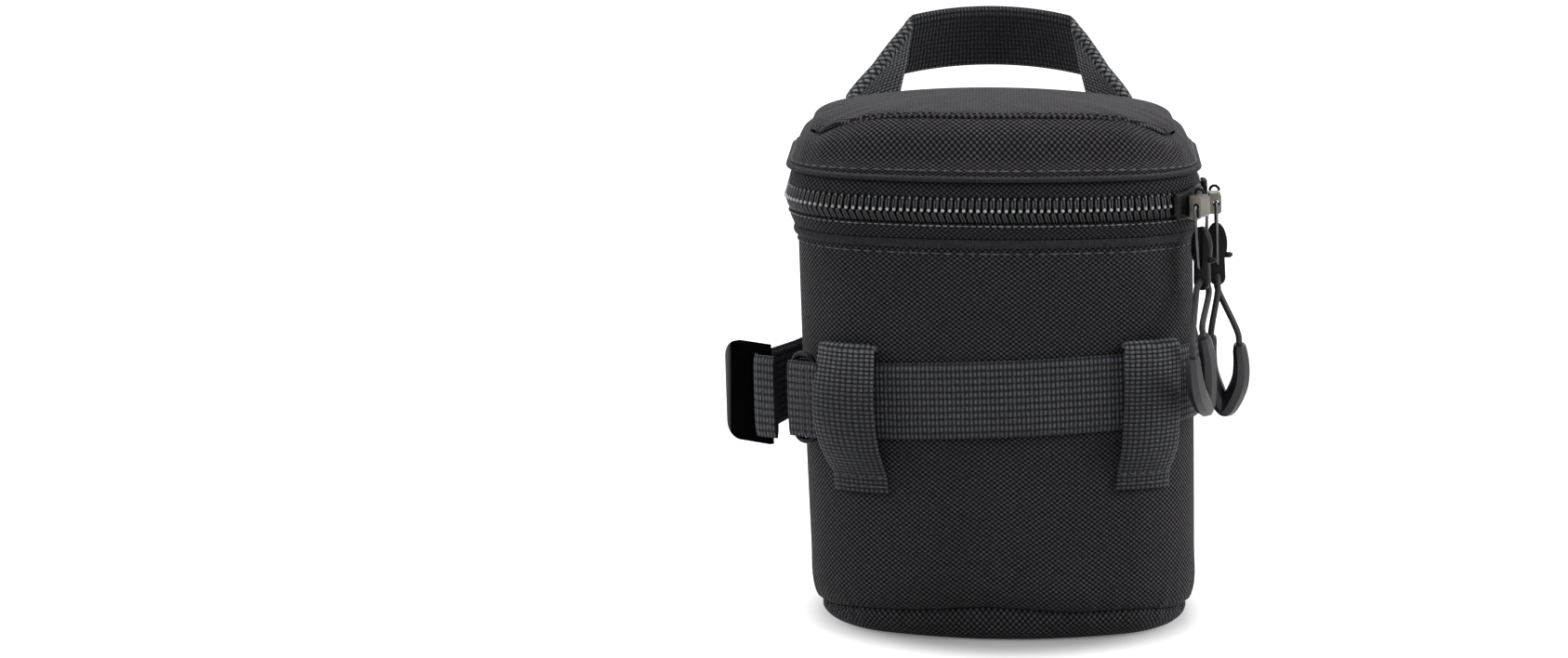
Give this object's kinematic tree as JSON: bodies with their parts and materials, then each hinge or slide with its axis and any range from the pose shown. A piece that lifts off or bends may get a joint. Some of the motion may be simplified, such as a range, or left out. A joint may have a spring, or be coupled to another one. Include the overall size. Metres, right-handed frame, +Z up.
{
  "type": "padded lens pouch",
  "caption": "Padded cloth pouch with a zipped hinged lid, a folded strap handle, a webbing belt with loops and a buckle, and two hanging zip pulls.",
  "frame": {"origin": "middle of the flat base, where the pouch stands", "axes": "+Z up through the lid, -Y to the front with the belt loops, +X to the side with the zip pulls"},
  "size_m": [0.1331, 0.0987, 0.1511],
  "materials": {
    "base_panel": "woven nylon, matt",
    "outer_shell": "woven nylon, matt",
    "base_pad": "closed cell foam",
    "foam_wall": "closed cell foam",
    "inner_lining": "brushed lining cloth",
    "rim_binding": "folded binding tape",
    "back_panel": "woven nylon over a thin board",
    "lower_zip_teeth": "moulded nylon teeth",
    "lower_zip_tape": "woven tape",
    "upper_zip_teeth": "moulded nylon teeth",
    "upper_zip_tape": "woven tape",
    "hinge_panel": "woven nylon",
    "lid_binding": "folded binding tape",
    "lid_side_band": "woven nylon, matt",
    "lid_top_panel": "woven nylon, matt",
    "lid_foam": "closed cell foam",
    "lid_lining": "brushed lining cloth",
    "belt_webbing": "coarse webbing",
    "left_belt_loop": "coarse webbing",
    "right_belt_loop": "coarse webbing",
    "belt_ring": "black lacquer",
    "buckle_plate": "glossy moulding",
    "handle_webbing": "coarse webbing",
    "front_slider": "black lacquer",
    "front_slider_block": "grey satin metal",
    "front_slider_crown": "black lacquer",
    "rear_slider": "black lacquer",
    "rear_slider_block": "grey satin metal",
    "rear_slider_crown": "black lacquer",
    "front_pull_bail": "black lacquer",
    "front_pull_link": "moulded plastic",
    "front_pull_grip": "moulded plastic",
    "front_pull_cord": "braided cord",
    "rear_pull_bail": "black lacquer",
    "rear_pull_link": "moulded plastic",
    "rear_pull_grip": "moulded plastic",
    "rear_pull_cord": "braided cord"
  },
  "bodies": {
    "body": {"base_panel": "base_panel", "outer_shell": "outer_shell", "base_pad": "base_pad", "foam_wall": "foam_wall", "inner_lining": "inner_lining", "rim_binding": "rim_binding", "back_panel": "back_panel", "lower_zip_teeth": "lower_zip_teeth", "lower_zip_tape": "lower_zip_tape", "hinge_panel": "hinge_panel", "belt_webbing": "belt_webbing", "left_belt_loop": "left_belt_loop", "right_belt_loop": "right_belt_loop", "belt_ring": "belt_ring"},
    "lid": {"lid_binding": "lid_binding", "lid_side_band": "lid_side_band", "lid_top_panel": "lid_top_panel", "lid_foam": "lid_foam", "lid_lining": "lid_lining", "upper_zip_teeth": "upper_zip_teeth", "upper_zip_tape": "upper_zip_tape", "handle_webbing": "handle_webbing"},
    "buckle_plate": {"buckle_plate": "buckle_plate"},
    "front_slider": {"front_slider": "front_slider", "front_slider_block": "front_slider_block", "front_slider_crown": "front_slider_crown"},
    "rear_slider": {"rear_slider": "rear_slider", "rear_slider_block": "rear_slider_block", "rear_slider_crown": "rear_slider_crown"},
    "front_pull": {"front_pull_bail": "front_pull_bail", "front_pull_link": "front_pull_link", "front_pull_grip": "front_pull_grip", "front_pull_cord": "front_pull_cord"},
    "rear_pull": {"rear_pull_bail": "rear_pull_bail", "rear_pull_link": "rear_pull_link", "rear_pull_grip": "rear_pull_grip", "rear_pull_cord": "rear_pull_cord"}
  },
  "joints": [
    {"name": "lid_hinge", "type": "hinge", "parent": "body", "child": "lid", "pos_m": [0, 0.0477, 0.1093], "axis": [-1, 0, 0], "range_deg": [0, 110], "deforming": ["hinge_panel"]},
    {"name": "front_slider_travel", "type": "hinge", "parent": "body", "child": "front_slider", "pos_m": [0.02222, -0.017, 0.1093], "axis": [0, 0, 1], "range_deg": [-12, 5]},
    {"name": "rear_slider_travel", "type": "slide", "parent": "body", "child": "rear_slider", "axis": [0, 1, 0], "range_m": [0, 0.014]},
    {"name": "front_pull_swing", "type": "hinge", "parent": "front_slider", "child": "front_pull", "pos_m": [0.04801, -0.03288, 0.1091], "axis": [-0.5245, -0.8514, 0], "range_deg": [0, 70]},
    {"name": "rear_pull_swing", "type": "hinge", "parent": "rear_slider", "child": "rear_pull", "pos_m": [0.05257, -0.01045, 0.107], "axis": [0, -1, 0], "range_deg": [0, 70]},
    {"name": "buckle_plate_tilt", "type": "hinge", "parent": "body", "child": "buckle_plate", "pos_m": [-0.06043, -0.0145, 0.0577], "axis": [-0.03, 0, 0.9996], "range_deg": [-3, 30]}
  ]
}
